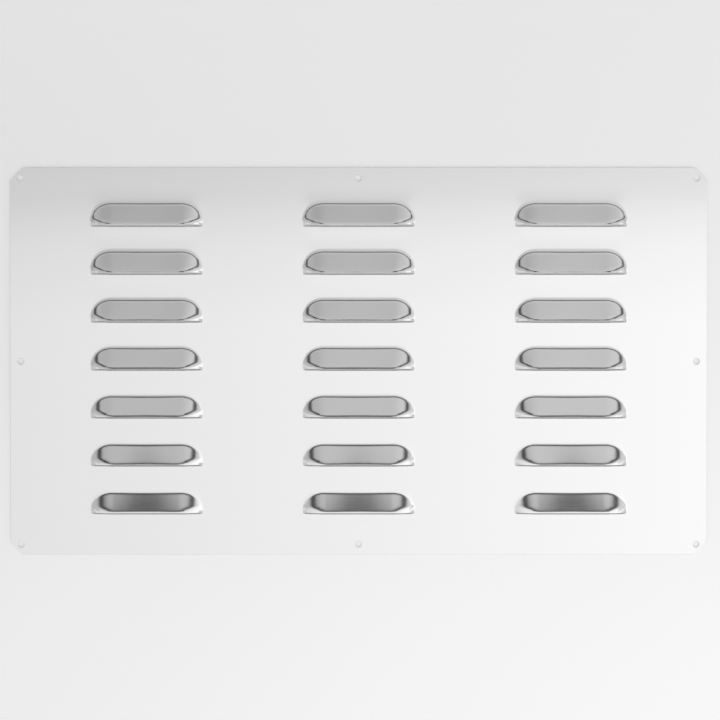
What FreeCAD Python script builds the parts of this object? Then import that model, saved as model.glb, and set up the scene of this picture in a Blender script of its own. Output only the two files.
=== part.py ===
import FreeCAD, Part
import os
import Sketcher
from FreeCAD import Vector

# A flat stainless vent panel with rows of stamped louvres, in millimetres.
# It lies on its back: +X along its width, +Y towards its top edge, +Z out of the louvred face.
# The origin is the centre of the back face.

COLUMNS = 3
ROWS = 7

SIZES = [
    ("panel_width", 457.2, "overall width"),
    ("panel_height", 254.0, "overall height"),
    ("sheet_thickness", 0.9, "20 gauge sheet"),
    ("corner_clip", 8.4, "leg of the 45 degree cut at each corner"),
    ("hole_diameter", 4.5, "clearance hole for a screw"),
    ("hole_inset", 6.7, "hole centre to the nearest edges"),
    ("column_pitch", 139.3, "louvre to louvre along a row"),
    ("row_pitch", 31.5, "slit to slit down a column"),
    ("first_slit_drop", 37.3, "top edge to the first lip"),
    ("slit_gap", 0.5, "cut edge of the sheet to the lip, seen from the front"),
    ("hood_length", 73.0, "end to end of the slit and of the hood above it"),
    ("hood_depth", 16.1, "lip to the back of the hood"),
    ("hood_rise", 6.35, "lip above the sheet's front face"),
    ("heel_run", 3.8, "depth of the bend where the ramp leaves the sheet"),
    ("crown_run", 3.8, "depth of the easing of the ramp beside the lip"),
    ("shoulder_run", 14.5, "length over which each rounded end falls to the sheet"),
]

# Slope of the ramp at the lip, as a share of its steepest slope.
LIP_SLOPE = 0.65
# Power of the curve that a hood's rounded ends follow. An ellipse has 2, and more is squarer.
END_POWER = 2.5
# Where the skin of a hood may bend along its rounded end, as shares of its run.
END_BENDS = (1.4, 0.7, 0.2, 0)

doc = FreeCAD.newDocument("louvred_panel")
params = doc.addObject("Spreadsheet::Sheet", "params")
for row, (alias, value, note) in enumerate(SIZES, start=1):
    params.set(f"A{row}", note)
    params.set(f"B{row}", str(value))
    params.setAlias(f"B{row}", alias)
doc.recompute()


def size(alias):
    """The expression that reads one named size."""
    return f"<<params>>.{alias}"


def number(alias):
    """The value of one named size."""
    return float(params.get(alias))


def origin_feature(body, role):
    """One of the body's own origin planes or axes."""
    return next(part for part in body.Origin.OriginFeatures if part.Role == role)


def new_sketch(body, name):
    """An empty sketch lying on the body's own XY plane."""
    sketch = body.newObject("Sketcher::SketchObject", name)
    sketch.AttachmentSupport = [(origin_feature(body, "XY_Plane"), "")]
    sketch.MapMode = "FlatFace"
    return sketch


def dimension(sketch, expression, *constraint):
    """Add a dimension to the sketch and bind it to the sheet."""
    index = sketch.addConstraint(Sketcher.Constraint(*constraint))
    sketch.setExpression(f"Constraints[{index}]", expression)


def closed_outline(sketch, points):
    """Straight lines from point to point and back to the first, joined end to end."""
    lines = []
    for start, end in zip(points, points[1:] + points[:1]):
        lines.append(sketch.addGeometry(Part.LineSegment(Vector(*start, 0), Vector(*end, 0)), False))
    for line, following in zip(lines, lines[1:] + lines[:1]):
        sketch.addConstraint(Sketcher.Constraint("Coincident", line, 2, following, 1))
    return lines


def through_cut(body, sketch, name):
    """Cut a sketch on the back face through the whole sheet."""
    cut = body.newObject("PartDesign::Pocket", name)
    cut.Profile = sketch
    cut.Type = "ThroughAll"
    cut.Reversed = True
    return cut


def linear_pattern(body, name, axis, backwards, count, pitch):
    """Half of a grid: copies at one pitch along one of the body's axes."""
    pattern = body.newObject("PartDesign::LinearPattern", name)
    pattern.Direction = (origin_feature(body, axis), [""])
    pattern.Reversed = backwards
    pattern.Mode = "Spacing"
    pattern.Occurrences = count
    pattern.setExpression("Offset", pitch)
    return pattern


def sheet_blank(body):
    """The flat sheet: a rectangle with its four corners cut off at 45 degrees."""
    half_width = number("panel_width") / 2
    half_height = number("panel_height") / 2
    clip = number("corner_clip")
    sketch = new_sketch(body, "outline")
    lines = closed_outline(sketch, [
        (-half_width + clip, -half_height), (half_width - clip, -half_height),
        (half_width, -half_height + clip), (half_width, half_height - clip),
        (half_width - clip, half_height), (-half_width + clip, half_height),
        (-half_width, half_height - clip), (-half_width, -half_height + clip),
    ])
    bottom, right, top, left = lines[0::2]
    # The vertical axis halves the bottom and top edges, the horizontal axis the two sides.
    sketch.addConstraint([
        Sketcher.Constraint("Symmetric", bottom, 1, bottom, 2, -2),
        Sketcher.Constraint("Symmetric", top, 1, top, 2, -2),
        Sketcher.Constraint("Symmetric", right, 1, right, 2, -1),
        Sketcher.Constraint("Symmetric", left, 1, left, 2, -1),
        Sketcher.Constraint("Symmetric", bottom, 1, top, 2, -1),
    ])
    dimension(sketch, size("panel_width"), "DistanceX", left, 1, right, 1, 2 * half_width)
    dimension(sketch, size("panel_height"), "DistanceY", bottom, 1, top, 2, 2 * half_height)
    dimension(sketch, size("corner_clip"), "DistanceX", bottom, 2, right, 1, clip)
    dimension(sketch, size("corner_clip"), "DistanceY", bottom, 2, right, 1, clip)
    dimension(sketch, size("corner_clip"), "DistanceX", left, 2, bottom, 1, clip)
    dimension(sketch, size("corner_clip"), "DistanceY", bottom, 1, left, 2, clip)
    blank = body.newObject("PartDesign::Pad", "blank")
    blank.Profile = sketch
    blank.setExpression("Length", size("sheet_thickness"))
    return blank


def screw_holes(body):
    """Eight screw holes along the rim: one at each corner and one halfway along each edge."""
    half_width = number("panel_width") / 2 - number("hole_inset")
    half_height = number("panel_height") / 2 - number("hole_inset")
    radius = number("hole_diameter") / 2
    sketch = new_sketch(body, "hole_centres")
    width_size = f"{size('panel_width')} / 2 - {size('hole_inset')}"
    height_size = f"{size('panel_height')} / 2 - {size('hole_inset')}"
    for across in (-1, 0, 1):
        for up in (-1, 0, 1):
            if across == 0 and up == 0:
                continue
            centre = Vector(across * half_width, up * half_height, 0)
            hole = sketch.addGeometry(Part.Circle(centre, Vector(0, 0, 1), radius), False)
            if across == 0:
                sketch.addConstraint(Sketcher.Constraint("PointOnObject", hole, 3, -2))
            else:
                dimension(sketch, f"{across} * ({width_size})", "DistanceX", -1, 1, hole, 3, centre.x)
            if up == 0:
                sketch.addConstraint(Sketcher.Constraint("PointOnObject", hole, 3, -1))
            else:
                dimension(sketch, f"{up} * ({height_size})", "DistanceY", -1, 1, hole, 3, centre.y)
            dimension(sketch, f"{size('hole_diameter')} / 2", "Radius", hole, radius)
    return through_cut(body, sketch, "screw_holes")


def hood_windows(body):
    """One opening per louvre, which its hood then covers: from the slit back to the hood's heel."""
    half_length = number("hood_length") / 2
    left_column = -(COLUMNS - 1) / 2 * number("column_pitch")
    lip = number("panel_height") / 2 - number("first_slit_drop")
    front = lip - number("slit_gap")
    back = lip + number("hood_depth")
    sketch = new_sketch(body, "first_window")
    lines = closed_outline(sketch, [
        (left_column - half_length, front), (left_column + half_length, front),
        (left_column + half_length, back), (left_column - half_length, back),
    ])
    for line in lines[0::2]:
        sketch.addConstraint(Sketcher.Constraint("Horizontal", line))
    for line in lines[1::2]:
        sketch.addConstraint(Sketcher.Constraint("Vertical", line))
    lip_size = f"{size('panel_height')} / 2 - {size('first_slit_drop')}"
    column_size = f"-{(COLUMNS - 1) / 2} * {size('column_pitch')}"
    dimension(sketch, f"{column_size} - {size('hood_length')} / 2",
              "DistanceX", -1, 1, lines[0], 1, left_column - half_length)
    dimension(sketch, f"{column_size} + {size('hood_length')} / 2",
              "DistanceX", -1, 1, lines[1], 1, left_column + half_length)
    dimension(sketch, f"{lip_size} - {size('slit_gap')}", "DistanceY", -1, 1, lines[0], 1, front)
    dimension(sketch, f"{lip_size} + {size('hood_depth')}", "DistanceY", -1, 1, lines[2], 1, back)
    window = through_cut(body, sketch, "window")
    along_row = linear_pattern(body, "along_row", "X_Axis", False, COLUMNS, size("column_pitch"))
    down_column = linear_pattern(body, "down_column", "Y_Axis", True, ROWS, size("row_pitch"))
    grid = body.newObject("PartDesign::MultiTransform", "windows")
    grid.Originals = [window]
    grid.Transformations = [along_row, down_column]
    body.Tip = grid
    return grid


def ramp_share(back):
    """Height of the ramp, as a share of the lip's, at a distance back from the lip.

    Its slope grows over the heel, stays level up the ramp and eases over the crown.
    """
    depth = number("hood_depth")
    heel = number("heel_run")
    crown = number("crown_run")

    def climbed(up):
        """Climb from the heel to a distance forward of it, for a steepest slope of 1."""
        on_heel = min(up, heel)
        on_ramp = min(max(up - heel, 0), depth - heel - crown)
        on_crown = max(up - depth + crown, 0)
        eased = on_crown * (1 - (1 - LIP_SLOPE) * on_crown / crown / 2)
        return on_heel ** 2 / heel / 2 + on_ramp + eased

    return climbed(depth - back) / climbed(depth)


def end_share(inward):
    """Size of a hood's profile, as a share of its middle's, at a distance inward from its end."""
    outward = max(1 - inward / number("shoulder_run"), 0)
    return (1 - outward ** END_POWER) ** (1 / END_POWER)


def hood_share(inward, back):
    """Height of a hood, as a share of its full rise.

    Towards a rounded end its profile shrinks in depth, in height and a little in slope.
    """
    scale = end_share(inward)
    if back >= scale * number("hood_depth"):
        return 0
    return scale ** 2 * ramp_share(back / scale)


def clamped_counts(knots, degree):
    """How often each knot counts in a spline that ends on its first and last pole."""
    return [degree + 1] + [1] * (len(knots) - 2) + [degree + 1]


def pole_places(knots, degree):
    """Where each pole of such a spline belongs: the mean of the knots that it spans."""
    full = [knots[0]] * degree + knots + [knots[-1]] * degree
    return [sum(full[first + 1:first + degree + 1]) / degree for first in range(len(knots) + degree - 1)]


def hood_skin():
    """Front surface of one hood, from the lip at Y = 0 back to the heel, over the sheet's front face.

    It is one smooth patch, because the press draws ramp and ends together. Its poles stand where
    the ramp's and the ends' outlines put them.
    """
    degree = 2
    half_length = number("hood_length") / 2
    depth = number("hood_depth")
    run = number("shoulder_run")
    # The ends bend more and more as they near the sheet, so their knots draw together there.
    right_knots = [half_length - bend * run for bend in END_BENDS]
    length_knots = [-knot for knot in reversed(right_knots)] + right_knots
    depth_knots = [0, depth - number("heel_run"), depth]
    poles = []
    for along in pole_places(length_knots, degree):
        column = []
        for back in pole_places(depth_knots, degree):
            share = hood_share(half_length - abs(along), back)
            height = number("sheet_thickness") + number("hood_rise") * share
            column.append(Vector(along, back, height))
        poles.append(column)
    skin = Part.BSplineSurface()
    skin.buildFromPolesMultsKnots(
        poles, clamped_counts(length_knots, degree), clamped_counts(depth_knots, degree),
        length_knots, depth_knots, False, False, degree, degree)
    return skin.toShape()


def stamped_hood():
    """One hood of sheet: its front surface with the sheet's thickness behind it."""
    skin = doc.addObject("Part::Feature", "hood_skin")
    skin.Shape = hood_skin()
    hood = doc.addObject("Part::Extrusion", "hood")
    hood.Base = skin
    hood.DirMode = "Custom"
    hood.Dir = Vector(0, 0, -1)
    hood.setExpression("LengthFwd", size("sheet_thickness"))
    return hood


def hood_grid(hood):
    """A copy of the hood over every window."""
    copies = []
    for column in range(COLUMNS):
        for row in range(ROWS):
            copy = doc.addObject("App::Link", f"hood_{column + 1}_{row + 1}")
            copy.LinkedObject = hood
            across = f"{column - (COLUMNS - 1) / 2} * {size('column_pitch')}"
            up = f"{size('panel_height')} / 2 - {size('first_slit_drop')} - {row} * {size('row_pitch')}"
            copy.setExpression("Placement.Base.x", across)
            copy.setExpression("Placement.Base.y", up)
            copies.append(copy)
    return copies


sheet = doc.addObject("PartDesign::Body", "flat_sheet")
sheet_blank(sheet)
screw_holes(sheet)
hood_windows(sheet)

panel = doc.addObject("Part::MultiFuse", "louvred_panel")
panel.Label = "louvred_panel"
panel.Shapes = [sheet] + hood_grid(stamped_hood())
panel.Refine = True
doc.recompute()

# The holes and windows must have come out of the sheet, and the hoods must have joined it.
blank_volume = doc.getObject("blank").Shape.Volume
if sheet.Shape.Volume >= blank_volume:
    raise RuntimeError("the sheet was not cut")
for item in doc.Objects:
    if "Invalid" in item.State or "Error" in item.State:
        raise RuntimeError(f"{item.Name} failed: {item.State}")
if panel.Shape.isNull() or not panel.Shape.isValid() or len(panel.Shape.Solids) != 1:
    raise RuntimeError("louvred_panel is not one valid solid")

os.makedirs("parts", exist_ok=True)
panel.Shape.exportStep(f"parts/{panel.Label}.step")
print(f"{panel.Label}: {panel.Shape.Volume:.0f} mm3, {panel.Shape.BoundBox}")
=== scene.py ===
import math
import bmesh
import bpy
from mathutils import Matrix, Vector


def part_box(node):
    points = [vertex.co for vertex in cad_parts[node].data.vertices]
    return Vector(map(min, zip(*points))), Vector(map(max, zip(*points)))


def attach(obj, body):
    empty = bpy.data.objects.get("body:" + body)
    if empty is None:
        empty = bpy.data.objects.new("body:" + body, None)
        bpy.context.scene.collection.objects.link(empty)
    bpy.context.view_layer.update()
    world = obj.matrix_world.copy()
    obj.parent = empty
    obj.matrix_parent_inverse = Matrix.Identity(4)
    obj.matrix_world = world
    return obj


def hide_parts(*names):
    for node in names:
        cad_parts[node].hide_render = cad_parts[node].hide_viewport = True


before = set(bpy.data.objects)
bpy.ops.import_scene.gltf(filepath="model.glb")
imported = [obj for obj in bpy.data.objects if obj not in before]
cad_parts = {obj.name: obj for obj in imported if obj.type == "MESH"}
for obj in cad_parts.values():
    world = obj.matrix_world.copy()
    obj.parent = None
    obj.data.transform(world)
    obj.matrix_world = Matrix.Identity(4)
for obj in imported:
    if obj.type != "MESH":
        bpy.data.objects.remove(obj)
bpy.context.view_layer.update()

scene = bpy.context.scene
scene.view_settings.view_transform = "Standard"


# The sheet: one piece of thin stainless, sheared to size with clipped corners and pierced for
# screws. Each louvre is lanced along a straight slit and drawn up into a half hood in one stroke
# of the press, so the sheet runs into its ramp and its two curled ends without a join.
GAUGE = 0.0009
CORNER_CLIP = 0.0084
HOLE_RADIUS = 0.00225
HOLE_INSET = 0.0067
COLUMNS = 3
ROWS = 7
COLUMN_PITCH = 0.1393
ROW_PITCH = 0.0315
FIRST_SLIT_DROP = 0.0373
SLIT_GAP = 0.0005
HOOD_HALF = 0.0365
HOOD_DEPTH = 0.0161
HEEL_RUN = 0.0038
CROWN_RUN = 0.0030
LIP_SLOPE = 0.70
SHOULDER_RUN = 0.0155
END_SPREAD = 0.0010
LIP_PULL = 0.0012
PULL_RUN = 0.0040
TOE_RUN = 0.0010
END_POWER = 2.5
MIDDLE_SAG = 0.0005
SAG_HALF = 0.028
ROLL_RUN = 0.0008
ROLL_DROP = 0.00055
WIDE_GAP = 0.0007
SKIRT_RISE = 0.00016
SKIRT_RUN = 0.0065
WIDE_REACH = 0.0255
NOTCH_LENGTH = 0.0020
NOTCH_DEPTH = 0.0011
CROWN_POWER = 4
ROLL_POWER = 1.7
STATION_CROWDING = 1.5
SHEAR_PAST = 0.002
HOLE_SIDES = 48
EDGE_BREAK = 0.0003
BREAK_SEGMENTS = 2
SHARPEST_BEND = math.radians(60)
NO_DISTANCE = 1e-6
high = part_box("louvred_panel")[1]
HALF_WIDTH = high.x
HALF_HEIGHT = high.y
HOOD_RISE = high.z - GAUGE


def ramp_share(back):
    """Share of the full rise at a distance back from the lip, along the middle of a hood."""

    def climbed(up):
        on_heel = min(up, HEEL_RUN)
        on_ramp = min(max(up - HEEL_RUN, 0), HOOD_DEPTH - HEEL_RUN - CROWN_RUN)
        on_crown = max(up - HOOD_DEPTH + CROWN_RUN, 0)
        slope_lost = (1 - LIP_SLOPE) * (on_crown / CROWN_RUN) ** CROWN_POWER / (CROWN_POWER + 1)
        eased = on_crown * (1 - slope_lost)
        return on_heel ** 2 / HEEL_RUN / 2 + on_ramp + eased

    return climbed(HOOD_DEPTH - back) / climbed(HOOD_DEPTH)


def end_share(inward):
    """Size of a hood's profile, as a share of its middle's, at a distance inward from its end."""
    outward = max(1 - inward / SHOULDER_RUN, 0)
    return (1 - outward ** END_POWER) ** (1 / END_POWER)


def hood_height(along, back):
    """Height of a hood over the sheet's front face.

    Its foot spreads a little past the slit's ends, and pulls in towards the lip.
    """
    pull = LIP_PULL * max(1 - back / PULL_RUN, 0) ** 2
    inward = HOOD_HALF + END_SPREAD - pull - abs(along)
    if inward <= 0 or back < 0:
        return 0
    scale = end_share(inward ** 2 / (inward + TOE_RUN))
    if back >= scale * HOOD_DEPTH:
        return 0
    sag = MIDDLE_SAG * (1 - min(abs(along) / SAG_HALF, 1) ** 2)
    return (HOOD_RISE - sag) * scale ** 2 * ramp_share(back / scale)


def skirt(along, back):
    """How far the sheet is drawn up around a hood, which fades out before the next."""
    aside = max(abs(along) - HOOD_HALF + SHOULDER_RUN / 2, 0)
    ahead = max(back - HOOD_DEPTH + HEEL_RUN, -back, 0)
    return SKIRT_RISE * math.exp(-(aside ** 2 + ahead ** 2) / SKIRT_RUN ** 2)


def evenly(start, end, count):
    """Stations from start to end."""
    return [start + (end - start) * step / count for step in range(count + 1)]


def merged(stations):
    """Sorted stations with the repeats left out."""
    kept = []
    for station in sorted(stations):
        if not kept or station - kept[-1] > NO_DISTANCE:
            kept.append(station)
    return kept


column_centres = [(column - (COLUMNS - 1) / 2) * COLUMN_PITCH for column in range(COLUMNS)]
lip_lines = [HALF_HEIGHT - FIRST_SLIT_DROP - row * ROW_PITCH for row in range(ROWS)]

# Stations over the sheet: each end is followed closely and the straight middle loosely.
SHOULDER_STATIONS = 15
half_stations = evenly(0, HOOD_HALF - SHOULDER_RUN, 3)
half_stations += [HOOD_HALF + outward for outward in (0.0025, 0.0045, 0.0075, 0.012)]
half_stations += [HOOD_HALF - SHOULDER_RUN * (1 - step / SHOULDER_STATIONS) ** STATION_CROWDING
                  for step in range(SHOULDER_STATIONS + 1)]
half_stations += [HOOD_HALF - NOTCH_LENGTH, HOOD_HALF + END_SPREAD / 2, HOOD_HALF + END_SPREAD]
half_stations += [WIDE_REACH - 0.0002, WIDE_REACH]
across = merged([-HALF_WIDTH, HALF_WIDTH] + [
    centre + side * station
    for centre in column_centres for side in (-1, 1) for station in half_stations])
back_stations = evenly(0, CROWN_RUN, 4) + evenly(CROWN_RUN, HOOD_DEPTH, 16)
back_stations += [HOOD_DEPTH + outward for outward in (0.002, 0.004, 0.0065, 0.0095)]
roll_stations = evenly(-WIDE_GAP - ROLL_RUN, -WIDE_GAP, 4) + [-0.0042, -0.0065]
roll_stations += evenly(-SLIT_GAP - ROLL_RUN, -SLIT_GAP, 3)
upward = merged([-HALF_HEIGHT, HALF_HEIGHT] + [
    lip + station
    for lip in lip_lines for station in back_stations + [NOTCH_DEPTH, -SLIT_GAP] + roll_stations])


def hood_at(x, y):
    """Which hood a point lies under or in front of, as distances along and back from its lip."""
    centre = min(column_centres, key=lambda middle: abs(x - middle))
    lip = min(lip_lines, key=lambda line: abs(y - line - HOOD_DEPTH / 2))
    return x - centre, y - lip


def cut_edge(along):
    """Distance in front of the lip at which the sheet is cut: further in the middle of a louvre."""
    return WIDE_GAP if abs(along) < WIDE_REACH - NO_DISTANCE else SLIT_GAP


def in_slit(x, y):
    """Whether a point lies in the open gap between a lip and the sheet's cut edge.

    At each end the tear opens a little further back.
    """
    along, back = hood_at(x, y)
    inward = HOOD_HALF - abs(along)
    far_side = NOTCH_DEPTH if inward < NOTCH_LENGTH else 0
    return inward > 0 and -cut_edge(along) < back < far_side


def edge_roll(along, back):
    """How far the sheet's cut edge is rolled down in front of the slit."""
    nearness = 1 + (back + cut_edge(along)) / ROLL_RUN
    inward = HOOD_HALF - abs(along)
    if nearness <= 0 or back > -cut_edge(along) + NO_DISTANCE or inward <= 0:
        return 0
    return ROLL_DROP * nearness ** ROLL_POWER * min(inward / ROLL_RUN / 2, 1)


sheet_mesh = bmesh.new()
front = {}
for column, x in enumerate(across):
    for row, y in enumerate(upward):
        place = hood_at(x, y)
        lifted = hood_height(*place) * (1 - SKIRT_RISE / HOOD_RISE) + skirt(*place)
        height = GAUGE + lifted - edge_roll(*place)
        front[column, row] = sheet_mesh.verts.new((x, y, height))
for column in range(len(across) - 1):
    for row in range(len(upward) - 1):
        middle_x = (across[column] + across[column + 1]) / 2
        middle_y = (upward[row] + upward[row + 1]) / 2
        if not in_slit(middle_x, middle_y):
            sheet_mesh.faces.new([front[column, row], front[column + 1, row],
                                  front[column + 1, row + 1], front[column, row + 1]])
stray = [vertex for vertex in sheet_mesh.verts if not vertex.link_faces]
bmesh.ops.delete(sheet_mesh, geom=stray, context="VERTS")

# The back face is the front one, one gauge lower but never under the table's plane, and walls
# close the edges between them.
rim = [edge for edge in sheet_mesh.edges if len(edge.link_faces) == 1]
back_of = {}
for vertex in list(sheet_mesh.verts):
    back_of[vertex] = sheet_mesh.verts.new((vertex.co.x, vertex.co.y, max(vertex.co.z - GAUGE, 0)))
for face in list(sheet_mesh.faces):
    sheet_mesh.faces.new([back_of[vertex] for vertex in reversed(face.verts)])
for edge in rim:
    loop = edge.link_loops[0]
    start, end = loop.vert, loop.link_loop_next.vert
    sheet_mesh.faces.new([end, start, back_of[start], back_of[end]])
panel_data = bpy.data.meshes.new("pressed_sheet")
sheet_mesh.to_mesh(panel_data)
sheet_mesh.free()
panel = bpy.data.objects.new("pressed_sheet", panel_data)
scene.collection.objects.link(panel)


def punch(name, corners):
    """A prism through the sheet, to shear or pierce it with."""
    tool = bmesh.new()
    below = [tool.verts.new((x, y, -GAUGE)) for x, y in corners]
    above = [tool.verts.new((x, y, 2 * GAUGE)) for x, y in corners]
    tool.faces.new(list(reversed(below)))
    tool.faces.new(above)
    for index in range(len(corners)):
        following = (index + 1) % len(corners)
        tool.faces.new([below[index], below[following], above[following], above[index]])
    data = bpy.data.meshes.new(name)
    tool.to_mesh(data)
    tool.free()
    return data


punches = bmesh.new()
for side in (-1, 0, 1):
    for end in (-1, 0, 1):
        if side == 0 and end == 0:
            continue
        x = side * (HALF_WIDTH - HOLE_INSET)
        y = end * (HALF_HEIGHT - HOLE_INSET)
        ring = [(x + HOLE_RADIUS * math.cos(turn), y + HOLE_RADIUS * math.sin(turn))
                for turn in evenly(0, 2 * math.pi, HOLE_SIDES)[:-1]]
        punches.from_mesh(punch("screw_hole", ring))
        if side and end:
            corner = Vector((side * HALF_WIDTH, end * HALF_HEIGHT))
            reach = CORNER_CLIP + SHEAR_PAST
            cut = [corner + Vector((side * SHEAR_PAST, end * SHEAR_PAST)),
                   corner + Vector((-side * reach, end * SHEAR_PAST)),
                   corner + Vector((side * SHEAR_PAST, -end * reach))]
            if side * end < 0:
                cut.reverse()
            punches.from_mesh(punch("corner_shear", cut))
punch_data = bpy.data.meshes.new("punches")
punches.to_mesh(punch_data)
punches.free()
punch_set = bpy.data.objects.new("punches", punch_data)
scene.collection.objects.link(punch_set)
pierce = panel.modifiers.new("pierce", "BOOLEAN")
pierce.operation = "DIFFERENCE"
pierce.solver = "EXACT"
pierce.object = punch_set
bpy.context.view_layer.update()
pierced = bpy.data.meshes.new_from_object(panel.evaluated_get(bpy.context.evaluated_depsgraph_get()))
panel.modifiers.clear()
panel.data = pierced
bpy.data.objects.remove(punch_set)

# The sheared edges are broken a little on both faces, within the sheet's own height.
edge_break = panel.modifiers.new("broken_edges", "BEVEL")
edge_break.width = EDGE_BREAK
edge_break.segments = BREAK_SEGMENTS
edge_break.limit_method = "ANGLE"
edge_break.angle_limit = SHARPEST_BEND
edge_break.use_clamp_overlap = True
bpy.context.view_layer.update()
broken = bpy.data.meshes.new_from_object(panel.evaluated_get(bpy.context.evaluated_depsgraph_get()))
panel.modifiers.clear()
panel.data = broken
for vertex in panel.data.vertices:
    vertex.co.z = min(max(vertex.co.z, 0), high.z)
for polygon in panel.data.polygons:
    polygon.use_smooth = True
normals = panel.modifiers.new("level_faces", "WEIGHTED_NORMAL")
normals.keep_sharp = True

# Satin stainless, seen close: pale grey metal with a fine rolled grain along the sheet's length.
STEEL_GREY = (0.86, 0.86, 0.86, 1)
GRAIN_PER_METRE = (60, 2600, 2600)
SMOOTHEST = 0.08
ROUGHEST = 0.13
steel = bpy.data.materials.new("satin_stainless")
steel.use_nodes = True
nodes = steel.node_tree.nodes
links = steel.node_tree.links
shader = nodes["Principled BSDF"]
shader.inputs["Base Color"].default_value = STEEL_GREY
shader.inputs["Metallic"].default_value = 1
sheet_place = nodes.new("ShaderNodeTexCoord")
stretch = nodes.new("ShaderNodeMapping")
stretch.inputs["Scale"].default_value = GRAIN_PER_METRE
links.new(sheet_place.outputs["Object"], stretch.inputs["Vector"])
grain = nodes.new("ShaderNodeTexNoise")
grain.inputs["Scale"].default_value = 1
grain.inputs["Detail"].default_value = 3
links.new(stretch.outputs["Vector"], grain.inputs["Vector"])
gloss = nodes.new("ShaderNodeMapRange")
gloss.inputs["To Min"].default_value = SMOOTHEST
gloss.inputs["To Max"].default_value = ROUGHEST
links.new(grain.outputs["Fac"], gloss.inputs["Value"])
links.new(gloss.outputs["Result"], shader.inputs["Roughness"])
panel.data.materials.clear()
panel.data.materials.append(steel)
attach(panel, "root")
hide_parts("louvred_panel")


# The table that the panel lies on: wide white paper, the same all over, that keeps the panel's
# shadow. A small even lift brightens it for eye and mirror alike.
FLOOR_REACH = 3.0
FLOOR_DROP = 0.0002
PAPER_LIFT = 0.1
PAPER_GREY = 0.9
PAPER_ROUGHNESS = 0.9
floor_data = bpy.data.meshes.new("floor")
floor_corners = [(-FLOOR_REACH, -FLOOR_REACH), (FLOOR_REACH, -FLOOR_REACH),
                 (FLOOR_REACH, FLOOR_REACH), (-FLOOR_REACH, FLOOR_REACH)]
floor_data.from_pydata([(x, y, -FLOOR_DROP) for x, y in floor_corners], [], [(0, 1, 2, 3)])
floor = bpy.data.objects.new("floor", floor_data)
scene.collection.objects.link(floor)
paper = bpy.data.materials.new("white_paper")
paper.use_nodes = True
tree = paper.node_tree
paper_shader = tree.nodes["Principled BSDF"]
paper_shader.inputs["Base Color"].default_value = (PAPER_GREY, PAPER_GREY, PAPER_GREY, 1)
paper_shader.inputs["Roughness"].default_value = PAPER_ROUGHNESS
paper_shader.inputs["Specular IOR Level"].default_value = 0
paper_shader.inputs["Emission Color"].default_value = (PAPER_LIFT, PAPER_LIFT, PAPER_LIFT, 1)


def worked(tree, operation, *values):
    """A math node on sockets or numbers."""
    node = tree.nodes.new("ShaderNodeMath")
    node.operation = operation
    for socket, value in zip(node.inputs, values):
        if isinstance(value, (int, float)):
            socket.default_value = value
        else:
            tree.links.new(value, socket)
    return node.outputs["Value"]


path = tree.nodes.new("ShaderNodeLightPath")
seen = worked(tree, "MAXIMUM", path.outputs["Is Camera Ray"], path.outputs["Is Glossy Ray"])
seen = worked(tree, "MAXIMUM", seen, path.outputs["Is Transmission Ray"])
tree.links.new(seen, paper_shader.inputs["Emission Strength"])
floor_data.materials.append(paper)


def toned(tree, socket, low_end, high_end, stops):
    """Grey tones along a value: pairs of value and tone."""
    spread = tree.nodes.new("ShaderNodeMapRange")
    spread.inputs["From Min"].default_value = low_end
    spread.inputs["From Max"].default_value = high_end
    tree.links.new(socket, spread.inputs["Value"])
    tones = tree.nodes.new("ShaderNodeValToRGB")
    elements = tones.color_ramp.elements
    elements[1].position = 1
    while len(elements) > 1:
        elements.remove(elements[-1])
    elements[0].position = 0
    elements[0].color = (stops[0][1],) * 3 + (1,)
    for value, tone in stops[1:]:
        element = elements.new((value - low_end) / (high_end - low_end))
        element.color = (tone, tone, tone, 1)
    tree.links.new(spread.outputs["Result"], tones.inputs["Fac"])
    return tones.outputs["Color"]


# The studio: a white tent that leaves a narrow dark slot towards the panel's top edge, a grey wall
# beyond the slot, and a dim horizon all round. Directions count as half tangents from the zenith,
# which is the slope that mirrors them to an eye above.
SIDE_GAIN = 0.9
SIDE_DIMMEST = 0.85
SIDE_BRIGHTEST = 1.15
studio = bpy.data.worlds.new("studio")
scene.world = studio
studio.use_nodes = True
tree = studio.node_tree
look = tree.nodes.new("ShaderNodeTexCoord")
part = tree.nodes.new("ShaderNodeSeparateXYZ")
tree.links.new(look.outputs["Generated"], part.inputs["Vector"])
above = worked(tree, "ADD", part.outputs["Z"], 1.0001)
side_slope = worked(tree, "DIVIDE", part.outputs["X"], above)
top_slope = worked(tree, "DIVIDE", part.outputs["Y"], above)
reach = worked(tree, "SQRT", worked(tree, "ADD", worked(tree, "MULTIPLY", side_slope, side_slope),
                                    worked(tree, "MULTIPLY", top_slope, top_slope)))
tent = toned(tree, top_slope, -1, 1, [
    (-1, 0.5), (-0.3, 1), (0, 1), (0.08, 0.7), (0.26, 0.62), (0.3, 0.45), (0.308, 0.05),
    (0.353, 0.05), (0.36, 0.66), (0.5, 0.45), (1, 0.2)])
horizon = toned(tree, reach, 0, 2, [(0, 1), (0.75, 1), (0.95, 0.6), (1.1, 0.2), (2, 0.15)])
sideways = worked(tree, "ADD", worked(tree, "MULTIPLY", side_slope, SIDE_GAIN), 1)
sideways = worked(tree, "MINIMUM", sideways, SIDE_BRIGHTEST)
sideways = worked(tree, "MAXIMUM", sideways, SIDE_DIMMEST)
sky = worked(tree, "MULTIPLY", worked(tree, "MULTIPLY", tent, horizon), sideways)
tree.links.new(sky, tree.nodes["Background"].inputs["Color"])


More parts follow.
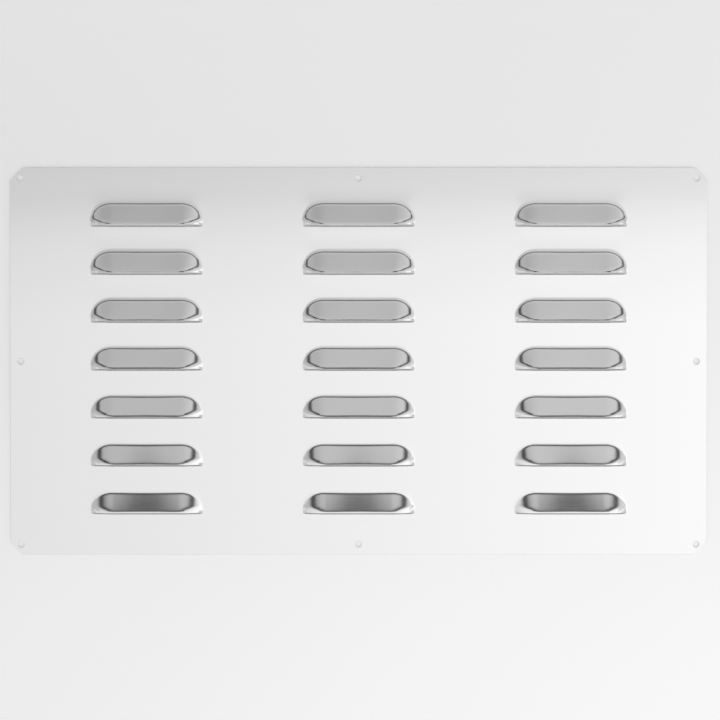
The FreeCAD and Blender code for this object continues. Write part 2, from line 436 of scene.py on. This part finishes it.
# The light panel over the sheet: close, so its soft falloff towards the top edge shows in the
# steel. It is out of the camera's sight.
LIGHT_RISE = 0.35
LIGHT_HALF = 0.7
LIGHT_NEAR = -0.6
LIGHT_FAR = 0.143
LIGHT_SIDE_GAIN = 0.36
light_data = bpy.data.meshes.new("light_panel")
light_corners = [(-LIGHT_HALF, LIGHT_NEAR), (-LIGHT_HALF, LIGHT_FAR),
                 (LIGHT_HALF, LIGHT_FAR), (LIGHT_HALF, LIGHT_NEAR)]
light_data.from_pydata([(x, y, LIGHT_RISE) for x, y in light_corners], [], [(0, 1, 2, 3)])
light = bpy.data.objects.new("light_panel", light_data)
scene.collection.objects.link(light)
light.visible_camera = False
diffuser = bpy.data.materials.new("diffuser")
diffuser.use_nodes = True
tree = diffuser.node_tree
tree.nodes.clear()
spot = tree.nodes.new("ShaderNodeTexCoord")
flat = tree.nodes.new("ShaderNodeSeparateXYZ")
tree.links.new(spot.outputs["Object"], flat.inputs["Vector"])
falloff = toned(tree, flat.outputs["Y"], LIGHT_NEAR, LIGHT_FAR, [
    (LIGHT_NEAR, 1), (0.03, 1), (0.1, 0.94), (LIGHT_FAR, 0.83)])
strength = worked(tree, "ADD", falloff, worked(tree, "MULTIPLY", flat.outputs["X"], LIGHT_SIDE_GAIN))
emission = tree.nodes.new("ShaderNodeEmission")
tree.links.new(strength, emission.inputs["Strength"])
surface = tree.nodes.new("ShaderNodeOutputMaterial")
tree.links.new(emission.outputs["Emission"], surface.inputs["Surface"])
light_data.materials.append(diffuser)


# The camera looks almost straight down, close to the middle of the sheet.
FRAME_WIDTH = 0.4730
CAMERA_RISE = 0.985
SENSOR_WIDTH = 36
AIM_ASIDE = 0.0009
TILT = math.radians(0.65)
camera_data = bpy.data.cameras.new("camera")
camera_data.sensor_width = SENSOR_WIDTH
camera_data.lens = SENSOR_WIDTH * CAMERA_RISE / FRAME_WIDTH
camera = bpy.data.objects.new("camera", camera_data)
scene.collection.objects.link(camera)
aim = Vector((AIM_ASIDE, AIM_ASIDE, GAUGE))
camera.location = aim + CAMERA_RISE * Vector((0, math.sin(TILT), math.cos(TILT)))
camera.rotation_euler = (-TILT, 0, 0)
scene.camera = camera
